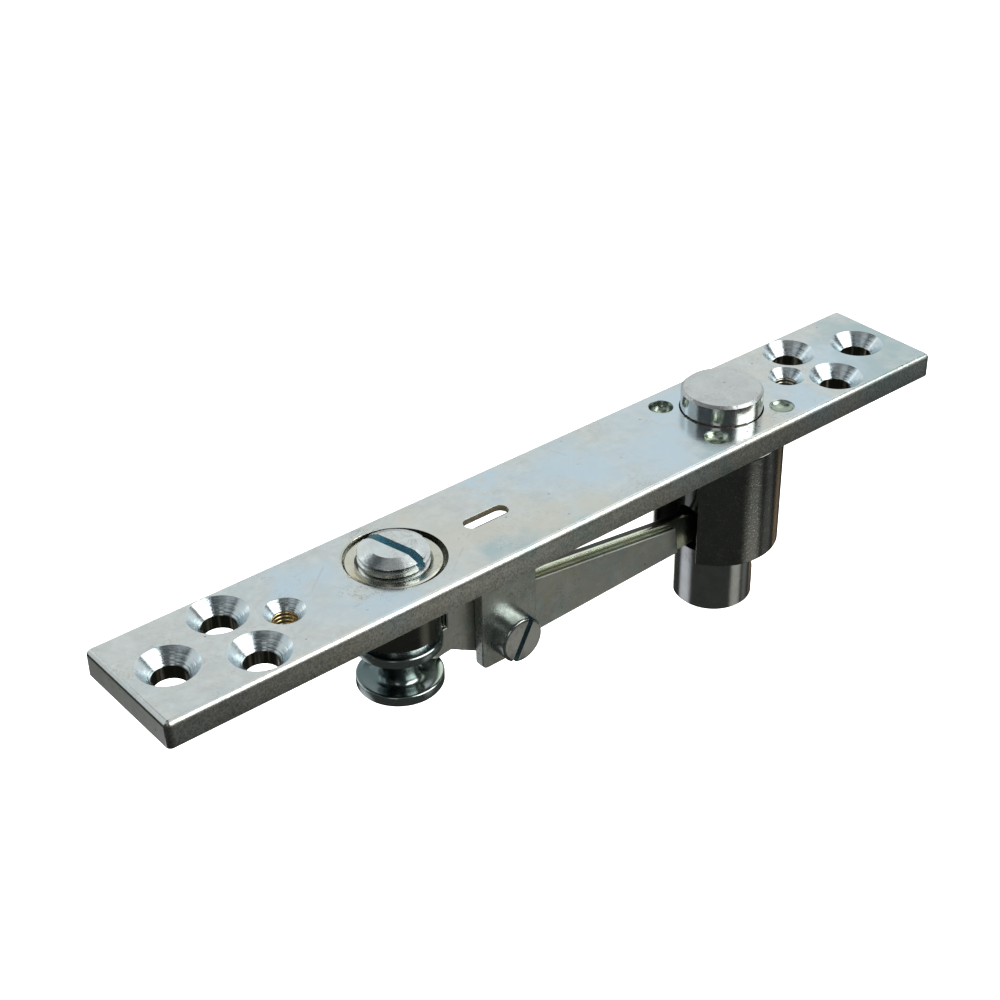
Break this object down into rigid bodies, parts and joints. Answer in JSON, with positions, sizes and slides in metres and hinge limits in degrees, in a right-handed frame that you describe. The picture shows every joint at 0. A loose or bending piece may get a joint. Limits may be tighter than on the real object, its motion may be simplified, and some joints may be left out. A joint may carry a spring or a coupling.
{
  "type": "door top pivot",
  "caption": "Retracting top pivot for a door: a long face plate with a round pin that a slotted screw raises and lowers through a rocking lever.",
  "frame": {"origin": "where the pivot pin's axis meets the face plate's outer face", "axes": "+Z along the pin, the way it comes out of the plate; +X along the plate, from the adjusting screw towards the pin; +Y across the plate"},
  "size_m": [0.1684, 0.0238, 0.0447],
  "materials": {
    "plate_steel": "zinc plated, pale blue passivated, faintly mottled",
    "plug_steel": "zinc plated, turned dish",
    "sleeve_steel": "zinc plated over turned steel, satin",
    "pin_steel": "zinc plated over turned steel, satin",
    "bush_steel": "zinc plated, slightly yellow passivated",
    "screw_steel": "zinc plated, bright",
    "spool_steel": "zinc plated over polished turned steel",
    "bracket_steel": "zinc plated sheet",
    "cross_screw_steel": "zinc plated",
    "lever_steel": "zinc plated sheet, matt"
  },
  "bodies": {
    "plate": {"face_plate": "plate_steel", "sleeve_plugs": "plug_steel", "guide_sleeve": "sleeve_steel", "threaded_bush": "bush_steel", "pivot_bracket": "bracket_steel", "lever_pivot_screw": "cross_screw_steel", "pivot_screw_nut": "cross_screw_steel", "lever_bush": "cross_screw_steel"},
    "spool": {"adjuster_spool": "spool_steel"},
    "screw": {"adjusting_screw": "screw_steel"},
    "lever": {"lever_blade": "lever_steel", "lever_cheek_front": "lever_steel", "lever_cheek_rear": "lever_steel"},
    "pin": {"pivot_pin": "pin_steel"}
  },
  "joints": [
    {"name": "pin_slide", "type": "slide", "parent": "plate", "child": "pin", "axis": [0, 0, 1], "range_m": [-0.004, 0.007]},
    {"name": "spool_travel", "type": "slide", "parent": "plate", "child": "spool", "axis": [0, 0, 1], "range_m": [-0.00184, 0.00105]},
    {"name": "screw_turn", "type": "hinge", "parent": "spool", "child": "screw", "pos_m": [-0.07445, 0, -0.01], "axis": [0, 0, 1], "range_deg": [-437.5, 250]},
    {"name": "lever_rock", "type": "hinge", "parent": "plate", "child": "lever", "pos_m": [-0.0538, 0, -0.0223], "axis": [0, -1, 0], "range_deg": [-4.3, 7.5]}
  ],
  "couplings": [
    {"joint": "spool_travel", "follows": "pin_slide", "ratio": -0.26022},
    {"joint": "lever_rock", "follows": "pin_slide", "rad_per_m": 18.587},
    {"joint": "screw_turn", "follows": "pin_slide", "rad_per_m": -1090}
  ]
}
